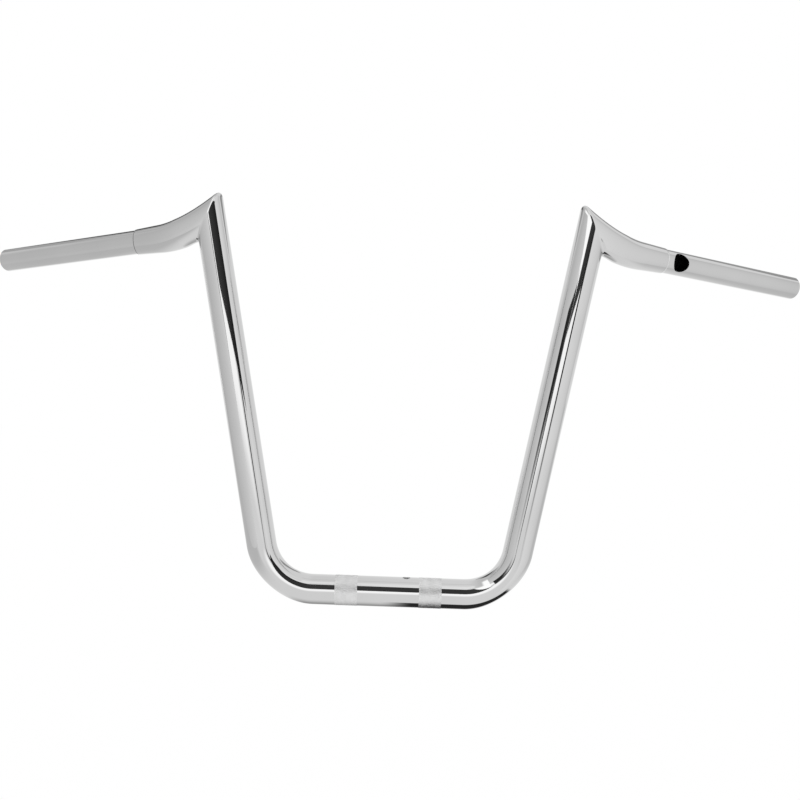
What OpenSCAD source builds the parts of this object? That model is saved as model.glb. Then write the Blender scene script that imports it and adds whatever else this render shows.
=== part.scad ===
// Ape hanger handlebar, a welded and chromed steel tube frame.
// One tube is bent into a U: the clamped base and two tall legs that lean outwards.
// An arm is mitred to the top of each leg, bends out and back, and is swaged down to a lip.
// The turned end of a straight grip tube seats in each arm. Wiring runs inside the tubes.
// X runs across the motorcycle, Y points back to the rider and Z is up, in millimetres.
// The origin is on the axis of the base, midway between its two knurled bands.

/* [Main tube] */
// Outside diameter of the main tube, and of the arms where they are mitred to it
tube_d = 31.75; // [28.6:0.05:38.1]
// Wall of the main tube and of the arms
tube_wall = 3.175; // [2:0.005:4]
// Distance between the two crossings of the base's axis and the legs' axes
corner_span = 255; // [240:1:320]
// Radius of the two lower bends, measured to the tube's axis
bend_r = 57.15; // [45:0.05:65]
// How much drawing a tube round its former takes off its radius in each bend
bend_neck = 0.05; // [0.02:0.01:0.3]
// Height of the mitred peaks over the base, measured between the tubes' axes
rise = 389; // [200:1:460]
// Outward lean of each leg, in degrees
lean = 10.2; // [0:0.1:18]

/* [Knurled bands] */
// Distance between the middles of the two bands that the risers clamp
band_spacing = 88.9; // [60:0.1:100]
// Width of each band
band_w = 24; // [15:0.5:28]
// Height of the rolled knurl over the plain tube
band_proud = 0.2; // [0.05:0.05:0.5]

/* [Arms] */
// Downward slope of each arm where it leaves its peak, in degrees
arm_drop_angle = 38; // [35:1:42]
// Rearward sweep of each arm where it leaves its peak, in degrees
arm_sweep_angle = 10; // [0:1:14]
// Angle between a leg and the plane its arm is mitred on, in degrees
mitre_angle = 33; // [31:0.5:36]
// How much flatter the underside of each arm is where it leaves the crotch, in degrees
crotch_ease_angle = 22; // [10:1:26]
// Distance along each arm in which it is drawn from the slanting mitre into a round tube
joint_len = 38; // [34:1:42]
// Radius of the bend in each arm, measured to its axis
arm_bend_r = 100; // [90:1:120]
// Straight end of each arm after the bend, which is reamed for the grip tube
arm_end = 34; // [28:1:60]
// Wall left round the socket at the lip where each arm's taper ends
lip_wall = 1.1; // [0.7:0.05:2]
// Width of the bevel that breaks the edge of the lip
lip_bevel = 0.3; // [0.1:0.05:0.4]

/* [Grips] */
// Outside diameter of the grip tubes
grip_d = 25.4; // [22.2:0.05:26]
// Wall of the grip tubes
grip_wall = 2.4; // [1.5:0.05:3]
// Bare length of each grip tube outside its arm
grip_len = 206; // [150:1:260]
// Downward slope of the grips, in degrees
grip_drop_angle = 6; // [0:0.1:9]
// Rearward sweep of the grips, in degrees
grip_sweep_angle = 31; // [28:0.5:45]
// Length of grip tube inside its arm
socket_depth = 25; // [15:1:27]
// How far that end is turned down below the grip's own surface, which leaves a shoulder at the lip
spigot_step = 0.4; // [0.2:0.05:0.8]
// Gap all round between the turned end and the socket
socket_gap = 0.125; // [0.05:0.005:0.15]
// Radius that breaks the outer edge of each open bar end
end_round = 0.8; // [0.2:0.1:1.2]

/* [Wiring holes] */
// Diameter of the hole in the top of the base
base_hole_d = 8; // [5:0.5:12]
// Distance of that hole from the middle of the base
base_hole_x = 19; // [10:0.5:24]
// Width of the slot in the front of the right grip tube
slot_w = 19; // [10:0.5:20]
// Length of that slot along the tube
slot_len = 22; // [20:0.5:40]
// Distance from the lip to the middle of the slot
slot_from_lip = 16; // [15.5:0.5:40]

/* [Hidden] */
$fn = 96;
skin_sides = 60;
skin_step = 3.5;
joint_steps = 8;
over = 1;
lap = 0.5;

tube_r = tube_d / 2;
bore_r = tube_r - tube_wall;
grip_r = grip_d / 2;
spigot_r = grip_r - spigot_step;
socket_r = spigot_r + socket_gap;
lip_r = socket_r + lip_wall;

// The U lies in the XZ plane. Its bends turn the tube from level to the lean of the legs.
leg_heading = [sin(lean), 0, cos(lean)];
bend_angle = 90 - lean;
bend_setback = bend_r * tan(bend_angle / 2);
base_half = corner_span / 2 - bend_setback;
leg_len = rise / cos(lean) - bend_setback;
peak = [corner_span / 2 + rise * tan(lean), 0, rise];

// Unit vector that points outwards, drop degrees down and sweep degrees back.
function heading(drop, sweep) = [cos(drop) * cos(sweep), cos(drop) * sin(sweep), -sin(drop)];
function unit(v) = v / norm(v);

// Rows of a matrix that puts a local frame at a point, from its X, Y and Z directions.
function placed(at, x, y, z) = [
    [x[0], y[0], z[0], at[0]],
    [x[1], y[1], z[1], at[1]],
    [x[2], y[2], z[2], at[2]],
    [0, 0, 0, 1]
];

arm_heading = heading(arm_drop_angle, arm_sweep_angle);
grip_heading = heading(grip_drop_angle, grip_sweep_angle);

// Each arm bends in one plane: local X leaves the peak and local Y points to the bend's centre.
arm_bend = acos(arm_heading * grip_heading);
arm_side = unit(grip_heading - arm_heading * (arm_heading * grip_heading));
arm_normal = cross(arm_heading, arm_side);

// The mitre plane stands at its own angle to the leg. The joint on it is an ellipse, long from
// the crotch up to the tip, that the leg's round section makes.
leg_side = unit(arm_heading - leg_heading * (leg_heading * arm_heading));
mitre_long = leg_heading * cos(mitre_angle) - leg_side * sin(mitre_angle);
mitre_across = unit(cross(leg_heading, arm_heading));
mitre_normal = unit(leg_heading - mitre_long * (leg_heading * mitre_long));
tip_reach = tube_r / tan(mitre_angle);
mitre_cut = 4 * tube_d;
arm_arc = arm_bend_r * arm_bend * PI / 180;
arm_len = arm_arc + arm_end;

// The same vector in the arm's own directions.
function in_arm(v) = [v * arm_heading, v * arm_side, v * arm_normal];

// Path of the arm in its own plane at a distance s along it: x, y and the angle turned.
function turned(s) = min(s / arm_bend_r * 180 / PI, arm_bend);
function arm_at(s) = let(a = turned(s), rest = max(s - arm_arc, 0)) [
    arm_bend_r * sin(a) + rest * cos(a),
    arm_bend_r * (1 - cos(a)) + rest * sin(a),
    a
];

// Outside radius of the arm: full where the joint ends, then an even taper to the bevelled lip.
function arm_r(s) = tube_r + (lip_r - tube_r) * (s - joint_len) / (arm_len - joint_len);

// Point of the round arm, t degrees round it.
function ring_point(s, r, t) = let(p = arm_at(s))
    [p[0] - r * cos(t) * sin(p[2]), p[1] + r * cos(t) * cos(p[2]), r * sin(t)];

// How far towards the tip (1) or the crotch (-1) a line t degrees round the arm lies.
tip_way = in_arm(unit(leg_heading - arm_heading * (leg_heading * arm_heading)));
across_way = in_arm(mitre_across);
function tipness(t) = cos(t) * tip_way[1] + sin(t) * tip_way[2];
function acrossness(t) = cos(t) * across_way[1] + sin(t) * across_way[2];

// Point of the joint's ellipse, and the direction in which the arm's skin leaves it.
function joint_point(r, t) =
    r * in_arm(mitre_long * tipness(t) / sin(mitre_angle) + mitre_across * acrossness(t));
function joint_way(t) = let(ease = crotch_ease_angle * min(tipness(t), 0))
    in_arm(heading(arm_drop_angle + ease, arm_sweep_angle));

// Smooth line from one point and direction to another, at u from 0 to 1.
function blend(u, from, way, to, to_way) = let(reach = norm(to - from)) from * (2 * u ^ 3 - 3 * u ^ 2 + 1)
    + way * reach * (u ^ 3 - 2 * u ^ 2 + u) + to * (3 * u ^ 2 - 2 * u ^ 3) + to_way * reach * (u ^ 3 - u ^ 2);

// Middle of the lip, where the bare part of the grip tube begins.
lip_local = arm_at(arm_len);
lip = peak + arm_heading * lip_local[0] + arm_side * lip_local[1];

// Solid lower bend in the XY plane, from level at the origin.
module bend_rod(r) {
    translate([0, bend_r, 0]) rotate([0, 0, -90]) rotate_extrude(angle = bend_angle)
        translate([bend_r, 0]) circle(r = r - bend_neck);
}

// Solid rod along the whole U, past both mitres. The straights lap over the ends of the bends.
module u_rod(r) {
    rotate([0, 90, 0]) cylinder(r = r, h = 2 * (base_half + lap), center = true);
    for (side = [0, 1]) mirror([side, 0, 0]) translate([base_half, 0, 0]) {
        rotate([90, 0, 0]) bend_rod(r);
        translate([0, 0, bend_r]) rotate([0, lean, 0]) translate([bend_r, 0, -lap])
            cylinder(r = r, h = leg_len + tip_reach + over + lap);
    }
}

// Space beyond the mitre plane of the right leg.
module beyond_mitre() {
    multmatrix(placed(peak, mitre_normal, mitre_across, cross(mitre_normal, mitre_across)))
        translate([0, -mitre_cut / 2, -mitre_cut / 2]) cube(mitre_cut);
}

// Raised ring that the knurl is rolled on, cut in the tube itself.
module knurled_band() {
    rotate([0, 90, 0]) cylinder(r = tube_r + band_proud, h = band_w, center = true);
}

module main_bend() {
    color("silver") difference() {
        union() {
            u_rod(tube_r);
            for (side = [-1, 1]) translate([side * band_spacing / 2, 0, 0]) knurled_band();
        }
        u_rod(bore_r);
        for (side = [0, 1]) mirror([side, 0, 0]) beyond_mitre();
        translate([base_hole_x, 0, 0]) cylinder(d = base_hole_d, h = tube_r + band_proud + over);
    }
}

// Wall of an arm: rings of points from the slanting joint into the bend and on to the lip, with
// all the outer rings before the inner ones. Swaging narrows the bore along with the outside.
module arm_tube() {
    bend_steps = ceil((arm_bend - turned(joint_len)) / skin_step);
    stops = concat([for (i = [0:bend_steps]) joint_len + (arm_arc - joint_len) * i / bend_steps],
        [arm_len - lip_bevel, arm_len]);
    last = joint_steps + len(stops) - 1;
    inner = (last + 1) * skin_sides;
    end = last * skin_sides;
    joint_end = turned(joint_len);
    end_way = [cos(joint_end), sin(joint_end), 0];
    points = [for (inset = [0, tube_wall], i = [0:last], k = [0:skin_sides - 1]) let(
        t = 360 * k / skin_sides,
        s = stops[max(i - joint_steps, 0)],
        p = ring_point(s, arm_r(s) - inset - (i == last ? lip_bevel : 0), t)
    ) i < joint_steps
        ? blend(i / joint_steps, joint_point(tube_r - inset, t), joint_way(t), p, end_way)
        : p];
    outer_faces = [for (i = [0:last - 1], k = [0:skin_sides - 1]) let(
        a = i * skin_sides + k,
        b = i * skin_sides + (k + 1) % skin_sides
    ) each [[a, b, b + skin_sides], [a, b + skin_sides, a + skin_sides]]];
    inner_faces = [for (f = outer_faces) [f[2] + inner, f[1] + inner, f[0] + inner]];
    ring_faces = [for (k = [0:skin_sides - 1]) let(a = k, b = (k + 1) % skin_sides) each [
        [b, a, a + inner],
        [b, a + inner, b + inner],
        [a + end, b + end, b + end + inner],
        [a + end, b + end + inner, a + end + inner]
    ]];
    polyhedron(points = points, faces = concat(outer_faces, inner_faces, ring_faces), convexity = 6);
}

// Reamed socket at the outer end of an arm, where the turned end of the grip tube seats.
module socket() {
    translate([0, arm_bend_r, 0]) rotate([0, 0, arm_bend])
        translate([arm_end - socket_depth, -arm_bend_r, 0]) rotate([0, 90, 0])
            cylinder(r = socket_r, h = socket_depth + over);
}

module right_arm() {
    color("silver") multmatrix(placed(peak, arm_heading, arm_side, arm_normal)) difference() {
        arm_tube();
        socket();
    }
}

module left_arm() {
    mirror([1, 0, 0]) right_arm();
}

// Grip tube turned round local Z from its profile: a spigot below the lip at zero, the grip's own
// size above it, and an outer end with its edge rounded. Its shoulder meets the lip, and the
// spigot stops just short of the socket's floor.
module grip_tube_wall() {
    rotate_extrude() difference() {
        union() {
            translate([0, socket_gap - socket_depth]) square([spigot_r, socket_depth]);
            square([grip_r - end_round, grip_len]);
            square([grip_r, grip_len - end_round]);
            translate([grip_r - end_round, grip_len - end_round]) circle(r = end_round);
        }
        translate([0, -socket_depth - over]) square([grip_r - grip_wall, socket_depth + grip_len + 2 * over]);
    }
}

// Round-ended slot through the front wall only, along the tube.
module wiring_slot() {
    reach = (slot_len - slot_w) / 2;
    for (end = [-1, 1]) translate([0, 0, slot_from_lip + end * reach])
        rotate([-90, 0, 0]) cylinder(d = slot_w, h = grip_r + over);
    translate([-slot_w / 2, 0, slot_from_lip - reach]) cube([slot_w, grip_r + over, 2 * reach]);
}

// Frame of the right grip: local Z runs outwards from the lip and local Y faces forwards.
module grip_frame() {
    grip_up = unit([0, 0, 1] - grip_heading * grip_heading[2]);
    grip_front = cross(grip_heading, grip_up);
    multmatrix(placed(lip, grip_up, grip_front, grip_heading)) children();
}

module grip_tube(slotted) {
    color("silver") grip_frame() difference() {
        grip_tube_wall();
        if (slotted) wiring_slot();
    }
}

module right_grip_tube() {
    grip_tube(true);
}

module left_grip_tube() {
    mirror([1, 0, 0]) grip_tube(false);
}

main_bend();
left_arm();
right_arm();
left_grip_tube();
right_grip_tube();
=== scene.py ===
import math

import bpy
import numpy as np
from mathutils import Matrix


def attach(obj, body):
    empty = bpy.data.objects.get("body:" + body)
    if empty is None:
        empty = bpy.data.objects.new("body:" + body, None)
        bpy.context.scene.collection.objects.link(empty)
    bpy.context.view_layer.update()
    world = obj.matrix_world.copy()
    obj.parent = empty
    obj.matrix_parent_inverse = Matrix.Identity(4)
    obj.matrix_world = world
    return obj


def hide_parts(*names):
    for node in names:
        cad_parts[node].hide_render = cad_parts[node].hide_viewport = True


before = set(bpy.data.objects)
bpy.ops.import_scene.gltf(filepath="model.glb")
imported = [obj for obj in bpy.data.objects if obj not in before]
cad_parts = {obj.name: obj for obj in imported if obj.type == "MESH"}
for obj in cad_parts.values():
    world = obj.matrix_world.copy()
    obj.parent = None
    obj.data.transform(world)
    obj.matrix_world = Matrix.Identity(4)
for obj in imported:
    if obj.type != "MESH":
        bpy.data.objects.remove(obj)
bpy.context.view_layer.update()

mm = 0.001

# Sizes of the bar in millimetres, the same as its solids have.
bar = {
    "tubeRadius": 15.875,
    "tubeBore": 12.7,
    "cornerSpan": 255,
    "bendRadius": 57.15,
    "rise": 389,
    "lean": 10.2,
    "armDrop": 38,
    "armSweep": 10,
    "mitreAngle": 33,
    "crotchEase": 22,
    "jointLength": 38,
    "armBendRadius": 100,
    "armEnd": 34,
    "lipRadius": 13.525,
    "gripRadius": 12.7,
    "gripDrop": 6,
    "gripSweep": 31,
}

front = np.array([0.0, -1.0, 0.0])
up = np.array([0.0, 0.0, 1.0])
around = 144  # points round each tube
angles = np.arange(around) * 2 * math.pi / around

# How many rows of points each stretch has, and where the rows of a leg begin, in millimetres.
detail = {
    "base": 41,
    "lowerBend": 41,
    "legStart": [2.0, 4.0, 6.0],
    "legFrom": 9.0,
    "leg": 54,
    "armBend": 13,
    "armEnd": 13,
    "lip": 9,
    "holeSkin": 8,
    "holeEdge": 4,
    "holeInside": 5,
    "grip": 60,
    "barEnd": 7,
}


def unit(v):
    return v / np.linalg.norm(v)


def heading(drop, sweep):
    d, s = np.radians(drop), math.radians(sweep)
    return np.stack([np.cos(d) * math.cos(s), np.cos(d) * math.sin(s), -np.sin(d)], -1)


def turned(v, axis, angle):
    c, s = math.cos(angle), math.sin(angle)
    return v * c + np.cross(axis, v) * s + np.multiply.outer(v @ axis, axis) * (1 - c)


# Directions and lengths that follow from the sizes, for the right-hand side.
lean = math.radians(bar["lean"])
mitreAngle = math.radians(bar["mitreAngle"])
bendAngle = math.pi / 2 - lean
baseHalf = bar["cornerSpan"] / 2 - bar["bendRadius"] * math.tan(bendAngle / 2)
legHeading = np.array([math.sin(lean), 0.0, math.cos(lean)])
legInner = np.array([-math.cos(lean), 0.0, math.sin(lean)])
armHeading = heading(bar["armDrop"], bar["armSweep"])
gripHeading = heading(bar["gripDrop"], bar["gripSweep"])
gripUp = unit(up - gripHeading * (gripHeading @ up))
gripFront = np.cross(gripHeading, gripUp)
peak = np.array([bar["cornerSpan"] / 2 + bar["rise"] * math.tan(lean), 0.0, bar["rise"]])
armBend = math.acos(armHeading @ gripHeading)
armSide = unit(gripHeading - armHeading * (armHeading @ gripHeading))
armNormal = np.cross(armHeading, armSide)
armArc = bar["armBendRadius"] * armBend
armLength = armArc + bar["armEnd"]

# The joint's ellipse is long from the crotch up to the tip.
legSide = unit(armHeading - legHeading * (legHeading @ armHeading))
mitreLong = legHeading * math.cos(mitreAngle) - legSide * math.sin(mitreAngle)
mitreAcross = unit(np.cross(legHeading, armHeading))
tipReach = bar["tubeRadius"] / math.tan(mitreAngle)

# Every line along the leg goes on as one line of the arm. Tipness is 1 for the one that meets
# the tip and -1 for the one that meets the crotch.
legOut = np.cos(angles)[:, None] * legInner + np.sin(angles)[:, None] * front
tipness = -(legOut @ legSide)
acrossness = legOut @ mitreAcross
tipWay = unit(legHeading - armHeading * (legHeading @ armHeading))
armOut = tipness[:, None] * tipWay + acrossness[:, None] * mitreAcross


# A small pit left in the front of each weld, drawn only as a patch of painted shade with no
# hollow: its radius, how far it is out from the crotch and above it, the rows before and after
# the joint that it is looked for in, how far it is in front of the middle at least, and the
# number of its painted shade material on the piece.
paintedPitShade = {
    "radius": 1.25,
    "out": 0.9,
    "above": 3.4,
    "rowsBefore": 3,
    "rowsAfter": 12,
    "forward": 1.0,
    "finish": 3,
}


# Collects grids of points with their normals and makes one smooth mesh of them. Faces close to a
# pit get the pit's painted shade material.
class Surface:
    def __init__(self, pits=()):
        self.pits = pits
        self.points, self.normals, self.faces, self.finish = [], [], [], []
        self.count = 0

    def add(self, points, normals, finish=0, leaveOut=None):
        rows, cols = points.shape[:2]
        keep = np.ones((rows - 1, cols), bool) if leaveOut is None else ~leaveOut[:-1]
        i, j = np.nonzero(keep)
        k = (j + 1) % cols
        here, beyond = i * cols, (i + 1) * cols
        quads = np.stack([here + j, here + k, beyond + k, beyond + j], 1)
        p, n = points.reshape(-1, 3), normals.reshape(-1, 3)
        side = np.cross(p[quads[:, 2]] - p[quads[:, 0]], p[quads[:, 3]] - p[quads[:, 1]])
        if (side * n[quads[:, 0]]).sum() < 0:
            quads = quads[:, ::-1]
        self.points.append(p)
        self.normals.append(n)
        self.faces.append(quads + self.count)
        centres = p[quads].mean(axis=1)
        pitted = np.zeros(len(quads), bool)
        for pit in self.pits:
            pitted |= np.linalg.norm(centres - pit, axis=1) < paintedPitShade["radius"]
        self.finish += np.where(pitted, paintedPitShade["finish"], finish).tolist()
        self.count += len(p)

    def make(self, name, materials):
        points = np.concatenate(self.points) * mm
        normals = np.concatenate(self.normals)
        normals = normals / np.linalg.norm(normals, axis=1)[:, None]
        faces = np.concatenate(self.faces)
        mesh = bpy.data.meshes.new(name)
        mesh.from_pydata(points.tolist(), [], faces.tolist())
        for m in materials:
            mesh.materials.append(m)
        mesh.polygons.foreach_set("material_index", self.finish)
        mesh.polygons.foreach_set("use_smooth", [True] * len(faces))
        mesh.normals_split_custom_set_from_vertices(normals.tolist())
        obj = bpy.data.objects.new(name, mesh)
        bpy.context.collection.objects.link(obj)
        print(name, "has", len(faces), "faces")
        return obj


def mirrored(a):
    return a * np.array([-1.0, 1.0, 1.0])


# Drawing a tube round its former flattens it a little on the inside and outside of the bend and
# widens it at the sides, in millimetres.
flattening = {"inside": 0.4, "outside": 1.6, "side": 0.15}


# Rows of the U from the middle of the base to a little below the peak.
def uRows(radius, withLeg=True):
    axis = [(np.array([x, 0.0, 0.0]), up, 0.0) for x in np.linspace(0, baseHalf, detail["base"])]
    if withLeg:
        for a in np.linspace(0, bendAngle, detail["lowerBend"] + 1)[1:]:
            c, s = math.cos(a), math.sin(a)
            centre = np.array([baseHalf + bar["bendRadius"] * s, 0, bar["bendRadius"] * (1 - c)])
            pinch = math.sin(math.pi * a / bendAngle) ** 2
            axis.append((centre, np.array([-s, 0.0, c]), pinch))
        start, inner, _ = axis[-1]
        length = (peak - start) @ legHeading - tipReach - corner["below"]
        steps = detail["legStart"] + list(np.linspace(detail["legFrom"], length, detail["leg"]))
        axis += [(start + legHeading * d, inner, 0.0) for d in steps]
    c, s = np.cos(angles), np.sin(angles)
    squeeze = np.where(c > 0, flattening["inside"], flattening["outside"]) * c ** 2
    rows = []
    for centre, inner, pinch in axis:
        across = radius - pinch * squeeze
        face = radius + pinch * flattening["side"]
        rows.append(centre + (c * across)[:, None] * inner + (s * face)[:, None] * front)
    return np.array(rows)


# Path of the arm's axis, with how far it has turned there.
def armAt(s):
    a = min(s / bar["armBendRadius"], armBend)
    rest = max(s - armArc, 0)
    x = bar["armBendRadius"] * math.sin(a) + rest * math.cos(a)
    y = bar["armBendRadius"] * (1 - math.cos(a)) + rest * math.sin(a)
    return peak + armHeading * x + armSide * y, a


def armRadius(s):
    t = (s - bar["jointLength"]) / (armLength - bar["jointLength"])
    return bar["tubeRadius"] + (bar["lipRadius"] - bar["tubeRadius"]) * t


def armRing(s):
    centre, a = armAt(s)
    return centre + armRadius(s) * turned(armOut, armNormal, a)


lip = armAt(armLength)[0]

# The ground weld at a peak: how far its rounding reaches down the leg and out along the arm at
# the tip, at the front and back, and in the crotch, how sharply that changes round the joint, and
# how far under the tip's cut its rows begin, in millimetres. Then its rows under the rounding, in
# it and beyond it.
corner = {
    "tip": 8.0,
    "side": 2.5,
    "crotch": 2.4,
    "change": 1.5,
    "below": 14.0,
    "rowsUnder": 10,
    "rows": 16,
    "rowsBeyond": 15,
}


def cornerRows():
    joint = peak + bar["tubeRadius"] * (
        np.multiply.outer(tipness / math.sin(mitreAngle), mitreLong)
        + np.multiply.outer(acrossness, mitreAcross))
    way = heading(bar["armDrop"] + bar["crotchEase"] * np.minimum(tipness, 0), bar["armSweep"])
    end = armRing(bar["jointLength"])
    endWay = turned(armHeading, armNormal, armAt(bar["jointLength"])[1])
    reach = np.linalg.norm(end - joint, axis=1)

    def skin(u):
        u = u[:, None]
        tangents = way * (u ** 3 - 2 * u ** 2 + u) + endWay * (u ** 3 - u ** 2)
        places = joint * (2 * u ** 3 - 3 * u ** 2 + 1) + end * (3 * u ** 2 - 2 * u ** 3)
        return places + tangents * reach[:, None]

    ends = np.where(tipness > 0, corner["tip"], corner["crotch"])
    rounding = corner["side"] + (ends - corner["side"]) * np.abs(tipness) ** corner["change"]
    low = peak + bar["tubeRadius"] * legOut - (tipReach + corner["below"]) * legHeading
    into = joint - rounding[:, None] * legHeading
    rows = [low + (into - low) * t for t in np.linspace(0, 1, corner["rowsUnder"] + 2)[1:-1]]
    split = len(rows) + corner["rows"] // 2
    off = rounding / reach
    outOf = skin(off)
    for t in np.linspace(0, 1, corner["rows"] + 1):
        rows.append(into * (1 - t) ** 2 + joint * 2 * t * (1 - t) + outOf * t ** 2)
    rows += [skin(off + (1 - off) * t) for t in np.linspace(0, 1, corner["rowsBeyond"] + 1)[1:]]
    return rows, split


# Where the pit of the weld is, on the right-hand side.
def pitOf(cornerPoints, split):
    first, last = split - paintedPitShade["rowsBefore"], split + paintedPitShade["rowsAfter"]
    near = np.array(cornerPoints[first:last]).reshape(-1, 3)
    near = near[near[:, 1] < -paintedPitShade["forward"]]
    crotch = cornerPoints[split][np.argmin(tipness)]
    aim = crotch + np.array([paintedPitShade["out"], 0.0, paintedPitShade["above"]])
    away = np.hypot(near[:, 0] - aim[0], near[:, 2] - aim[2])
    return near[np.argmin(away)]


# Normals from the grid itself, pointing away from the tube's axis.
def gridNormals(points):
    along = np.gradient(points, axis=0)
    across = np.roll(points, -1, axis=1) - np.roll(points, 1, axis=1)
    n = np.cross(along, across)
    n /= np.maximum(np.linalg.norm(n, axis=2), 1e-12)[..., None]
    middle = points.mean(axis=1)[:, None, :]
    return n * np.sign(((points - middle) * n).sum(axis=2).mean())


# An oval or round hole through a tube's wall, with a broken edge. The loop is the outline of the
# faces that were left out for it, as places along the tube and angles round it.
def cutOut(surface, place, loop, hole, radius, bore, wallFinish=0):
    along, turn = loop[:, 0] - hole["at"], loop[:, 1]
    outer = np.stack([along, radius * np.sin(turn)], 1)
    inner = np.stack([along, bore * np.sin(turn)], 1)
    reach, half = (hole["length"] - hole["width"]) / 2, hole["width"] / 2
    d = outer / np.linalg.norm(outer, axis=1)[:, None]
    toFlat = half / np.maximum(np.abs(d[:, 1]), 1e-9)
    toEnd = reach * np.abs(d[:, 0]) + np.sqrt(half ** 2 - (reach * d[:, 1]) ** 2)
    far = np.where(np.abs(toFlat * d[:, 0]) <= reach, toFlat, toEnd)
    rim = d * far[:, None]
    middle = np.stack([np.clip(rim[:, 0], -reach, reach), 0 * far], 1)
    away = rim - middle
    away /= np.linalg.norm(away, axis=1)[:, None]
    edge = hole["edge"]
    rows, normals = [], []

    def direction(a, w, h):
        return place(a, w, h) - place(0 * a, 0 * w, 0 * h)

    def onTube(plan, r, depth=0.0):
        h = np.sqrt(r ** 2 - plan[:, 1] ** 2)
        rows.append(place(plan[:, 0] + hole["at"], plan[:, 1], h - depth))
        return direction(0 * h, plan[:, 1] / r, h / r)

    awayVector = direction(away[:, 0], away[:, 1], 0 * far)
    for t in np.linspace(0, 1, detail["holeSkin"]):
        normals.append(onTube(outer * (1 - t) + (rim + away * edge) * t, radius))
    for q in np.linspace(0, math.pi / 2, detail["holeEdge"] + 1)[1:]:
        n = onTube(rim + away * edge * (1 - math.sin(q)), radius, edge * (1 - math.cos(q)))
        normals.append(n * math.cos(q) - awayVector * math.sin(q))
    surface.add(np.array(rows), np.array(normals))
    rows = rows[-1:]
    onTube(rim, bore)
    surface.add(np.array(rows), np.array([-awayVector, -awayVector]), finish=wallFinish)
    rows, normals = [], []
    for t in np.linspace(0, 1, detail["holeInside"]):
        normals.append(-onTube(rim * (1 - t) + inner * t, bore))
    surface.add(np.array(rows), np.array(normals), finish=1)


# Points of the rectangle of left-out faces, in order round it.
def loopOf(alongRows, turns):
    a0, a1, t0, t1 = alongRows[0], alongRows[-1], turns[0], turns[-1]
    low = [(a, t0) for a in alongRows[:-1]]
    right = [(a1, t) for t in turns[:-1]]
    high = [(a, t1) for a in alongRows[:0:-1]]
    left = [(a0, t) for t in turns[:0:-1]]
    return np.array(low + right + high + left)


# How detailed the fine and the broad noise are, the part of the fine one that roughness is read
# from, and how much it adds to the height beside the broad one.
polishing = {
    "fineDetail": 3,
    "broadDetail": 2,
    "roughFrom": 0.3,
    "roughTo": 0.75,
    "fineHeight": 0.004,
}


# Marks of the polishing wheel and the plating tank: how rough, toned and wavy each spot is.
def makePolish():
    group = bpy.data.node_groups.new("polish", "ShaderNodeTree")
    for way, names in (
            ("INPUT", ("Grain", "Least Rough", "Most Rough", "Wave")),
            ("OUTPUT", ("Roughness", "Height", "Tone"))):
        for name in names:
            group.interface.new_socket(name=name, in_out=way, socket_type="NodeSocketFloat")
    nodes, links = group.nodes, group.links
    given, out = nodes.new("NodeGroupInput"), nodes.new("NodeGroupOutput")
    where = nodes.new("ShaderNodeTexCoord")

    def noise(scale, kind):
        node = nodes.new("ShaderNodeTexNoise")
        node.inputs["Detail"].default_value = polishing[kind]
        links.new(where.outputs["Object"], node.inputs["Vector"])
        links.new(given.outputs[scale], node.inputs["Scale"])
        return node

    fine, broad = noise("Grain", "fineDetail"), noise("Wave", "broadDetail")
    rough = nodes.new("ShaderNodeMapRange")
    rough.inputs["From Min"].default_value = polishing["roughFrom"]
    rough.inputs["From Max"].default_value = polishing["roughTo"]
    links.new(fine.outputs["Fac"], rough.inputs["Value"])
    links.new(given.outputs["Least Rough"], rough.inputs["To Min"])
    links.new(given.outputs["Most Rough"], rough.inputs["To Max"])
    links.new(rough.outputs["Result"], out.inputs["Roughness"])
    both = nodes.new("ShaderNodeMath")
    both.operation = "MULTIPLY_ADD"
    both.inputs[1].default_value = polishing["fineHeight"]
    links.new(fine.outputs["Fac"], both.inputs[0])
    links.new(broad.outputs["Fac"], both.inputs[2])
    links.new(both.outputs[0], out.inputs["Height"])
    links.new(broad.outputs["Fac"], out.inputs["Tone"])
    return group


polish = makePolish()


def grey(level):
    return (level, level, level)


# A metal whose tone lies between a dark and a light one, with its marks as deep as the bump, in
# metres.
def makeMetal(name, look):
    material = bpy.data.materials.new(name)
    material.use_nodes = True
    nodes, links = material.node_tree.nodes, material.node_tree.links
    shader = nodes["Principled BSDF"]
    shader.inputs["Metallic"].default_value = 1.0
    marks = nodes.new("ShaderNodeGroup")
    marks.node_tree = polish
    for key, value in look["marks"].items():
        marks.inputs[key].default_value = value
    tone = nodes.new("ShaderNodeMix")
    tone.data_type = "RGBA"
    tone.inputs["A"].default_value = (*look["dark"], 1)
    tone.inputs["B"].default_value = (*look["light"], 1)
    bump = nodes.new("ShaderNodeBump")
    bump.inputs["Distance"].default_value = look["bump"]
    bump.inputs["Strength"].default_value = 1.0
    links.new(marks.outputs["Tone"], tone.inputs["Factor"])
    links.new(tone.outputs["Result"], shader.inputs["Base Color"])
    links.new(marks.outputs["Roughness"], shader.inputs["Roughness"])
    links.new(marks.outputs["Height"], bump.inputs["Height"])
    links.new(bump.outputs["Normal"], shader.inputs["Normal"])
    return material


chrome = makeMetal("polishedChrome", {
    "dark": grey(0.575),
    "light": grey(0.64),
    "bump": 0.00002,
    "marks": {"Grain": 700.0, "Least Rough": 0.02, "Most Rough": 0.06, "Wave": 16.0},
})
knurlChrome = makeMetal("knurledChrome", {
    "dark": grey(0.58),
    "light": grey(0.8),
    "bump": 0.00002,
    "marks": {"Grain": 1500.0, "Least Rough": 0.3, "Most Rough": 0.5, "Wave": 120.0},
})
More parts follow.
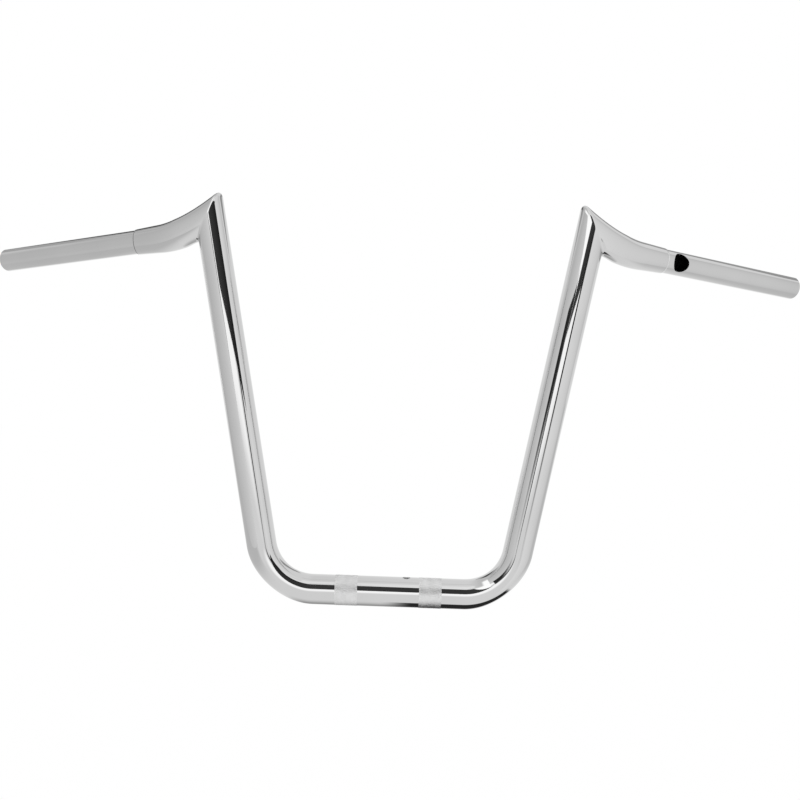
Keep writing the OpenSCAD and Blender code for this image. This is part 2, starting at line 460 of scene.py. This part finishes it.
# Near-black raw steel inside the tubes and holes; on each lip's face it is painted shade of the
# gap at the seam.
rawSteelAndGapShade = makeMetal("rawSteelInsideAndGapShade", {
    "dark": grey(0.02),
    "light": (0.05, 0.048, 0.045),
    "bump": 0.0001,
    "marks": {"Grain": 500.0, "Least Rough": 0.5, "Most Rough": 0.8, "Wave": 60.0},
})

# The wheel can't reach a hole's wall. A seam at a lip is painted shade on the left and a
# painted highlight on the right, and a weld's pit is painted shade.
dullPlate = makeMetal("dullPlate", {
    "dark": grey(0.75),
    "light": grey(0.9),
    "bump": 0.00005,
    "marks": {"Grain": 1200.0, "Least Rough": 0.5, "Most Rough": 0.7, "Wave": 200.0},
})
# Painted shade: a near-black patch where a weld's pit is, with no hollow in the mesh.
pitShadeMaterial = makeMetal("paintedPitShade", {
    "dark": grey(0.03),
    "light": grey(0.1),
    "bump": 0.0001,
    "marks": {"Grain": 900.0, "Least Rough": 0.4, "Most Rough": 0.7, "Wave": 300.0},
})
# Painted shade for the left seam ring and a painted highlight for the right one.
seamShadeAndHighlight = {
    "Left": makeMetal("paintedSeamShade", {
        "dark": grey(0.12),
        "light": grey(0.24),
        "bump": 0.00003,
        "marks": {"Grain": 900.0, "Least Rough": 0.3, "Most Rough": 0.5, "Wave": 120.0},
    }),
    "Right": makeMetal("paintedSeamHighlight", {
        "dark": grey(0.74),
        "light": grey(0.95),
        "bump": 0.00003,
        "marks": {"Grain": 900.0, "Least Rough": 0.2, "Most Rough": 0.4, "Wave": 90.0},
    }),
}

# The hole in the top of the base, where the wires come out. Faces are left out for it before and
# after its middle, and for so many cells on both sides of it.
baseHole = {
    "at": 19,
    "width": 8,
    "length": 8,
    "edge": 0.5,
    "before": 12.5,
    "after": 11.5,
    "cells": 12,
}


# The columns of faces on both sides of the first one, and the angles of their edges.
def besideFirst(cells):
    return np.arange(-cells, cells) % around, np.arange(-cells, cells + 1) * 2 * math.pi / around


def makeMainBend():
    leg = uRows(bar["tubeRadius"])
    cornerPoints, split = cornerRows()
    pit = pitOf(cornerPoints, split)
    surface = Surface([pit, mirrored(pit)])
    half = np.concatenate([leg, np.array(cornerPoints)])
    half = np.concatenate([mirrored(half)[:0:-1], half])
    cut = len(cornerPoints) - split - 1
    points, normals = half[cut:-cut], gridNormals(half)[cut:-cut]
    columns, turns = besideFirst(baseHole["cells"])

    def place(a, w, h):
        return np.stack([a, -w, h], 1)

    def overHole(rows):
        x = rows[:, 0, 0]
        near = (x > baseHole["at"] - baseHole["before"]) & (x < baseHole["at"] + baseHole["after"])
        leaveOut = np.zeros(rows.shape[:2], bool)
        leaveOut[np.ix_(near, columns)] = True
        first, last = np.nonzero(near)[0][[0, -1]]
        return leaveOut, x[first:last + 2]

    leaveOut, x = overHole(points)
    surface.add(points, normals, leaveOut=leaveOut)
    loop = loopOf(x, turns)
    cutOut(surface, place, loop, baseHole, bar["tubeRadius"], bar["tubeBore"], wallFinish=2)
    inner = uRows(bar["tubeBore"], withLeg=False)
    surface.add(inner, -gridNormals(inner), finish=1, leaveOut=overHole(inner)[0])
    return surface.make("mainBend", [chrome, rawSteelAndGapShade, dullPlate, pitShadeMaterial])


mainBend = makeMainBend()
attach(mainBend, "root")
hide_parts("main_bend")

# The rolled diamonds on the two bands, in millimetres: their crests are worn off at a share of
# their height, unevenly, and fade out at the ends of a band. No point is further under the tube
# than "sunk", and the ends are under it by "tucked".
knurl = {
    "spacing": 88.9,
    "width": 24,
    "proud": 0.2,
    "deep": 0.21,
    "diamonds": 60,
    "samples": 6,
    "rows": 84,
    "wornAt": 0.82,
    "uneven": 0.12,
    "fade": 0.6,
    "sunk": 0.05,
    "tucked": 0.02,
    "seed": 7,
}


def makeBand(side):
    surface = Surface()
    count = knurl["diamonds"] * knurl["samples"]
    pitch = 2 * math.pi / knurl["diamonds"]
    turn = np.arange(count) * 2 * math.pi / count
    x = np.linspace(-knurl["width"] / 2, knurl["width"] / 2, knurl["rows"] + 1)
    twist = x[:, None] / bar["tubeRadius"]
    one = (turn[None, :] + twist) / pitch
    other = (turn[None, :] - twist) / pitch
    crest = np.minimum(1 - np.abs(2 * (one % 1) - 1), 1 - np.abs(2 * (other % 1) - 1))
    rough = np.random.default_rng(knurl["seed"] + side)
    crest = np.minimum(crest, knurl["wornAt"])
    crest = crest * (1 + knurl["uneven"] * rough.standard_normal(crest.shape))
    fade = np.clip((knurl["width"] / 2 - np.abs(x)) / knurl["fade"], 0, 1)[:, None]
    groove = knurl["deep"] * (1 - np.clip(crest, 0, 1))
    height = fade * (knurl["proud"] + knurl["tucked"] - groove) - knurl["tucked"]
    radius = bar["tubeRadius"] + np.clip(height, -knurl["sunk"], knurl["proud"])
    points = np.stack([
        x[:, None] + side * knurl["spacing"] / 2 + 0 * turn[None, :],
        radius * np.sin(turn)[None, :],
        radius * np.cos(turn)[None, :],
    ], 2)
    surface.add(points, gridNormals(points))
    return surface.make("knurledBand" + ("Right" if side > 0 else "Left"), [knurlChrome])


for side in (-1, 1):
    band = makeBand(side)
    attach(band, "root")

# The lips of the arms were cut by hand, so each slants its own way. Grinding has worn them over a
# short length, by how much they are sunk, on a curve. The last rows of faces at a lip are its
# ring, a line of painted shade on the left and a painted highlight on the right. The lip's face
# reaches a little way into the grip tube and is near-black, as painted shade of the gap at the
# seam.
seam = {
    "slant": {"Right": 3.0, "Left": 6.0},
    "worn": 3.0,
    "sunk": 0.35,
    "curve": 2.2,
    "ringRows": 3,
    "faceInto": 0.3,
}


# The arm after its corner: the bend, then the straight end up to a slanting lip.
def armEndRows(slant):
    bendStops = np.linspace(bar["jointLength"], armArc, detail["armBend"] + 1)[1:]
    rows = [armRing(s) for s in bendStops]
    centre, _ = armAt(armArc)
    out = turned(armOut, armNormal, armBend)
    end = armLength - slant * (out @ gripFront)

    def onEnd(s, sunk=0.0):
        return centre + (s - armArc)[:, None] * gripHeading + (armRadius(s) - sunk)[:, None] * out

    for t in np.linspace(0, 1, detail["armEnd"] + 2)[1:-1]:
        rows.append(onEnd(armArc + (end - seam["worn"] - armArc) * t))
    for t in np.linspace(0, 1, detail["lip"]):
        sunk = seam["sunk"] * (1 - math.sqrt(max(1 - t ** seam["curve"], 0)))
        rows.append(onEnd(end - seam["worn"] * (1 - t), sunk))
    return rows, out


def makeArm(name):
    cornerPoints, split = cornerRows()
    endPoints, out = armEndRows(seam["slant"][name])
    whole = np.array(cornerPoints + endPoints)
    points, normals = whole[split:], gridNormals(whole)[split:]
    pit = pitOf(cornerPoints, split)
    if name == "Left":
        points, normals, pit = mirrored(points), mirrored(normals), mirrored(pit)
    surface = Surface([pit])
    ring = seam["ringRows"]
    surface.add(points[:-ring], normals[:-ring])
    # The ring's rows: painted shade on the left, painted highlight on the right.
    surface.add(points[-ring - 1:], normals[-ring - 1:], finish=2)
    edge = endPoints[-1]
    axisPoint = lip + ((edge - lip) @ gripHeading)[:, None] * gripHeading
    face = np.array([edge, axisPoint + (bar["gripRadius"] - seam["faceInto"]) * out])
    faceNormals = np.broadcast_to(gripHeading, face.shape)
    if name == "Left":
        face, faceNormals = mirrored(face), mirrored(faceNormals)
    # The lip's face is near-black as painted shade of the gap at the seam.
    surface.add(face, faceNormals, finish=1)
    return surface.make("arm" + name, [chrome, rawSteelAndGapShade, seamShadeAndHighlight[name], pitShadeMaterial])


for name in ("Left", "Right"):
    arm = makeArm(name)
    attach(arm, "root")
    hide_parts(name.lower() + "_arm")

# Grip tubes, which begin a little inside the lips. The right one has the slot for the switch
# wires in its front. Rows of faces stand a step apart near the slot, and a gap beyond them.
grip = {"wall": 2.4, "length": 206, "inside": 14, "endRound": 0.8}
wiringSlot = {
    "at": 16,
    "width": 19,
    "length": 22,
    "edge": 0.35,
    "near": 14,
    "step": 2.0,
    "gap": 3,
    "cells": 26,
}


def makeGrip(name):
    surface = Surface()
    side = np.array([-1.0, 1.0, 1.0]) if name == "Left" else np.ones(3)
    bore = bar["gripRadius"] - grip["wall"]
    slotted = name == "Right"

    def place(a, w, h):
        ways = ((a, gripHeading), (w, gripUp), (h, gripFront))
        return sum((np.multiply.outer(amount, way) for amount, way in ways), lip) * side

    def tubeRing(a, r):
        return place(np.full(around, a), r * np.sin(angles), r * np.cos(angles))

    out = np.multiply.outer(np.sin(angles), gripUp) + np.multiply.outer(np.cos(angles), gripFront)
    out = out * side
    end = gripHeading * side
    reach = wiringSlot["near"]
    near = wiringSlot["at"] + np.arange(-reach, reach + 1, wiringSlot["step"])
    farEnd = grip["length"] - grip["endRound"]
    far = np.linspace(near[-1] + wiringSlot["gap"], farEnd, detail["grip"])
    stations = np.concatenate([[-grip["inside"]], near, far])
    leaveOut = np.zeros((len(stations), around), bool)
    columns, turns = besideFirst(wiringSlot["cells"])
    if slotted:
        leaveOut[np.ix_(np.arange(1, len(near)), columns)] = True
    points = np.array([tubeRing(a, bar["gripRadius"]) for a in stations])
    surface.add(points, np.broadcast_to(out, points.shape), leaveOut=leaveOut)
    points = np.array([tubeRing(a, bore) for a in stations] + [tubeRing(grip["length"], bore)])
    leaveIn = np.concatenate([leaveOut, leaveOut[-1:]])
    surface.add(points, -np.broadcast_to(out, points.shape), leaveOut=leaveIn, finish=1)
    if slotted:
        cutOut(surface, place, loopOf(near, turns), wiringSlot, bar["gripRadius"], bore)
    rows, normals = [], []
    for q in np.linspace(0, math.pi / 2, detail["barEnd"]):
        r = bar["gripRadius"] - grip["endRound"] * (1 - math.cos(q))
        rows.append(tubeRing(grip["length"] - grip["endRound"] * (1 - math.sin(q)), r))
        normals.append(out * math.cos(q) + end * math.sin(q))
    rows.append(tubeRing(grip["length"], bore))
    normals.append(np.broadcast_to(end, out.shape))
    surface.add(np.array(rows), np.array(normals))
    return surface.make("gripTube" + name, [chrome, rawSteelAndGapShade])


for name in ("Left", "Right"):
    tube = makeGrip(name)
    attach(tube, "root")
    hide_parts(name.lower() + "_grip_tube")

# The floor glows white to the camera and in the chrome, but for a share that keeps the shadow.
# In metres.
studio = {"floorHeight": -0.4, "floorSize": 9.0, "floorShade": 0.15}


def stagePlane(name, corners, material):
    mesh = bpy.data.meshes.new(name)
    mesh.from_pydata([tuple(c) for c in corners], [], [(0, 1, 2, 3)])
    mesh.materials.append(material)
    across = mesh.uv_layers.new(name="across")
    for loop, place in enumerate(((0, 0), (1, 0), (1, 1), (0, 1))):
        across.data[loop].uv = place
    obj = bpy.data.objects.new(name, mesh)
    bpy.context.collection.objects.link(obj)
    return obj


def makeFloor():
    material = bpy.data.materials.new("paleFloor")
    material.use_nodes = True
    nodes, links = material.node_tree.nodes, material.node_tree.links
    shader = nodes["Principled BSDF"]
    shader.inputs["Base Color"].default_value = (1, 1, 1, 1)
    shader.inputs["Roughness"].default_value = 1.0
    shader.inputs["Specular IOR Level"].default_value = 0.0
    glow = nodes.new("ShaderNodeEmission")
    mix = nodes.new("ShaderNodeMixShader")
    part = nodes.new("ShaderNodeMath")
    part.operation = "MULTIPLY"
    part.inputs[1].default_value = 1 - studio["floorShade"]
    path, seen = nodes.new("ShaderNodeLightPath"), nodes.new("ShaderNodeMath")
    seen.operation = "MAXIMUM"
    links.new(path.outputs["Is Camera Ray"], seen.inputs[0])
    links.new(path.outputs["Is Glossy Ray"], seen.inputs[1])
    links.new(seen.outputs[0], part.inputs[0])
    links.new(part.outputs[0], mix.inputs["Fac"])
    links.new(shader.outputs[0], mix.inputs[1])
    links.new(glow.outputs[0], mix.inputs[2])
    links.new(mix.outputs[0], nodes["Material Output"].inputs["Surface"])
    h, s = studio["floorHeight"], studio["floorSize"] / 2
    stagePlane("floor", [(-s, -s, h), (s, -s, h), (s, s, h), (-s, s, h)], material)


makeFloor()
print("floor is laid")

# Cards, walls and stands round the bar, which only the chrome shows. Each has its middle and its
# width and height in metres, its glow at its left and right end, and how far in from its left,
# right, low and high edge it is soft, as a share of its size and never 0. Some also have a turn
# from facing the bar's front, a tilt, both in degrees, and a rise of the right end over the left.
cards = {
    "darkOpening": {
        "middle": (0.86, -1.5, 1.05), "size": (2.28, 1.4),
        "glow": (0.06, 0.01), "soft": (0.01, 0.05, 0.01, 0.04),
    },
    "brightLeft": {
        "middle": (-0.83, -1.52, 1.2), "size": (1.1, 1.22),
        "glow": (1.3, 1.62), "soft": (0.4, 0.01, 0.03, 0.2),
    },
    "brightSide": {
        "middle": (-0.3, -0.7, 0.69), "size": (1.6, 0.34), "turn": 90, "rise": 0.12,
        "glow": (1.62, 1.55), "soft": (0.01, 0.15, 0.03, 0.5),
    },
    "brightAbove": {
        "middle": (0.9, -1.49, 2.0), "size": (2.2, 0.9), "rise": -0.7,
        "glow": (1.25, 1.1), "soft": (0.1, 0.2, 0.03, 0.6),
    },
    "whiteFlap": {
        "middle": (0.35, -3.1, 0.15), "size": (2.3, 1.2),
        "glow": (1.48, 1.48), "soft": (0.03, 0.1, 0.5, 0.01),
    },
    "flapEdge": {
        "middle": (-0.519, -1.772, 0.345), "size": (2.712, 0.45), "turn": -101.55, "rise": 0.34,
        "glow": (0.03, 0.03), "soft": (0.01, 0.02, 0.6, 0.02),
    },
    "flapEdgeLow": {
        "middle": (-0.605, -2.2, 0.08), "size": (1.838, 0.9), "turn": -101.6,
        "glow": (0.1, 0.1), "soft": (0.1, 0.03, 0.35, 0.1),
    },
    "stand": {
        "middle": (0.345, -0.66, 0.12), "size": (0.135, 0.66),
        "glow": (0.03, 0.03), "soft": (0.12, 0.12, 0.6, 0.1),
    },
    "rightWall": {
        "middle": (0.9, 0.04, 0.6), "size": (1.431, 2.8), "turn": 33,
        "glow": (1.08, 0.68), "soft": (0.01, 0.2, 0.1, 0.3),
    },
    "leftWall": {
        "middle": (-1.25, -0.35, 0.6), "size": (3.3, 4.0), "turn": 112,
        "glow": (0.98, 0.54), "soft": (0.1, 0.2, 0.1, 0.3),
    },
    "leftLow": {
        "middle": (-1.231, -0.342, -0.15), "size": (3.2, 0.8), "turn": 112,
        "glow": (0.98, 0.6), "soft": (0.1, 0.2, 0.01, 0.5),
    },
    "leftFar": {
        "middle": (-1.625, 0.631, 0.7), "size": (1.2, 1.8), "turn": 112,
        "glow": (0.78, 0.9), "soft": (0.35, 0.5, 0.1, 0.3),
    },
    "leftRoof": {
        "middle": (-1.5, 0.3, 1.9), "size": (3.2, 4.0), "tilt": 90,
        "glow": (0.72, 0.78), "soft": (0.1, 0.3, 0.2, 0.3),
    },
    "roofBright": {
        "middle": (0.0, -0.8, 1.6), "size": (0.7, 0.8), "tilt": 90,
        "glow": (1.16, 1.16), "soft": (0.2, 0.2, 0.3, 0.2),
    },
    "roofBeam": {
        "middle": (0.0, 0.03, 1.6), "size": (0.7, 0.22), "tilt": 90,
        "glow": (0.86, 0.86), "soft": (0.2, 0.2, 0.3, 0.3),
    },
    "leftFloor": {
        "middle": (-1.5, 0.0, -0.38), "size": (2.4, 3.4), "tilt": 90,
        "glow": (0.67, 0.74), "soft": (0.1, 0.2, 0.2, 0.2),
    },
    "rightFloor": {
        "middle": (1.6, 0.0, -0.38), "size": (2.2, 3.4), "tilt": 90,
        "glow": (0.76, 0.7), "soft": (0.2, 0.1, 0.2, 0.2),
    },
    # Painted shadow: these two sheets, seen only in the chrome, stand for the shade on the floor
    # under the bar.
    "underShadowGrey": {
        "middle": (0.0, 0.45, -0.385), "size": (0.56, 1.2), "tilt": 90,
        "glow": (0.42, 0.42), "soft": (0.25, 0.25, 0.35, 0.3),
    },
    "underShadowDark": {
        "middle": (0.115, 0.03, -0.12), "size": (0.25, 0.16), "tilt": 90,
        "glow": (0.03, 0.03), "soft": (0.15, 0.1, 0.08, 0.1),
    },
    "rigLeft": {
        "middle": (-0.95, 1.15, 1.12), "size": (1.6, 0.75), "turn": 28,
        "glow": (0.52, 0.52), "soft": (0.05, 0.05, 0.1, 0.1),
    },
    "rigDark": {
        "middle": (-0.81, 1.202, 1.12), "size": (0.6, 0.75), "turn": 28,
        "glow": (0.1, 0.1), "soft": (0.12, 0.05, 0.1, 0.1),
    },
    "rigRight": {
        "middle": (0.95, 1.15, 1.04), "size": (1.6, 0.6), "turn": -28,
        "glow": (0.42, 0.42), "soft": (0.05, 0.05, 0.1, 0.1),
    },
}


def makeCardMaterial(name, card):
    material = bpy.data.materials.new(name)
    material.use_nodes = True
    nodes, links = material.node_tree.nodes, material.node_tree.links
    nodes.remove(nodes["Principled BSDF"])
    where = nodes.new("ShaderNodeUVMap")
    where.uv_map = "across"
    parts = nodes.new("ShaderNodeSeparateXYZ")
    links.new(where.outputs["UV"], parts.inputs[0])

    def ramp(kind, axis, start, end, first, last):
        node = nodes.new("ShaderNodeMapRange")
        node.interpolation_type = kind
        ends = {"From Min": start, "From Max": end, "To Min": first, "To Max": last}
        for key, value in ends.items():
            node.inputs[key].default_value = value
        links.new(parts.outputs[axis], node.inputs["Value"])
        return node.outputs["Result"]

    left, right, low, high = card["soft"]
    solid = ramp("SMOOTHSTEP", "X", 0, left, 0, 1)
    for edge in (("X", 1 - right, 1, 1, 0), ("Y", 0, low, 0, 1), ("Y", 1 - high, 1, 1, 0)):
        times = nodes.new("ShaderNodeMath")
        times.operation = "MULTIPLY"
        links.new(solid, times.inputs[0])
        links.new(ramp("SMOOTHSTEP", *edge), times.inputs[1])
        solid = times.outputs[0]
    glow = nodes.new("ShaderNodeEmission")
    links.new(ramp("LINEAR", "X", 0, 1, *card["glow"]), glow.inputs["Strength"])
    clear = nodes.new("ShaderNodeBsdfTransparent")
    mix = nodes.new("ShaderNodeMixShader")
    links.new(solid, mix.inputs["Fac"])
    links.new(clear.outputs[0], mix.inputs[1])
    links.new(glow.outputs[0], mix.inputs[2])
    links.new(mix.outputs[0], nodes["Material Output"].inputs["Surface"])
    return material


def makeCard(name, card):
    turn, tilt = math.radians(card.get("turn", 0)), math.radians(card.get("tilt", 0))
    along = np.array([math.cos(turn), math.sin(turn), 0.0])
    back = np.array([-math.sin(turn), math.cos(turn), 0.0])
    wide = along * card["size"][0] / 2 + up * card.get("rise", 0) / 2
    high = (back * math.sin(tilt) + up * math.cos(tilt)) * card["size"][1] / 2
    middle = np.array(card["middle"])
    low, top = middle - high, middle + high
    corners = [low - wide, low + wide, top + wide, top - wide]
    obj = stagePlane(name, corners, makeCardMaterial(name, card))
    obj.visible_camera = False
    obj.visible_diffuse = False
    obj.visible_shadow = False


for name, card in cards.items():
    makeCard(name, card)
print("cards are up")


def makeWorld():
    world = bpy.data.worlds.new("studioWorld")
    bpy.context.scene.world = world
    world.use_nodes = True
    base = world.node_tree.nodes["Background"]
    base.inputs["Color"].default_value = (1, 1, 1, 1)
    base.inputs["Strength"].default_value = 1.0


makeWorld()

# The camera stands where the photograph's did: its place and range in metres, angles in degrees,
# the focal length in pixels of a picture 800 wide, and the sensor in millimetres.
camera = {
    "place": (0.0050, -1.1752, 0.3067),
    "yaw": 0.02,
    "pitch": -4.95,
    "roll": 2.04,
    "focalPixels": 1124.9,
    "imageWidth": 800,
    "sensor": 36,
    "nearest": 0.01,
    "furthest": 50,
}


def makeCamera():
    yaw, pitch, roll = (math.radians(camera[k]) for k in ("yaw", "pitch", "roll"))
    level = np.array([math.sin(yaw), math.cos(yaw), 0.0])
    forward = level * math.cos(pitch) + up * math.sin(pitch)
    right = np.array([math.cos(yaw), -math.sin(yaw), 0.0])
    upward = np.cross(right, forward)
    rolledRight = right * math.cos(roll) + upward * math.sin(roll)
    rolledUp = upward * math.cos(roll) - right * math.sin(roll)
    data = bpy.data.cameras.new("camera")
    data.sensor_width = camera["sensor"]
    data.lens = camera["focalPixels"] / camera["imageWidth"] * camera["sensor"]
    data.clip_start, data.clip_end = camera["nearest"], camera["furthest"]
    obj = bpy.data.objects.new("camera", data)
    columns = np.stack([rolledRight, rolledUp, -forward, np.array(camera["place"])], 1)
    obj.matrix_world = Matrix([*columns.tolist(), [0, 0, 0, 1]])
    bpy.context.collection.objects.link(obj)
    bpy.context.scene.camera = obj


makeCamera()
bpy.context.scene.view_settings.view_transform = "Standard"
print("studio and camera are set")
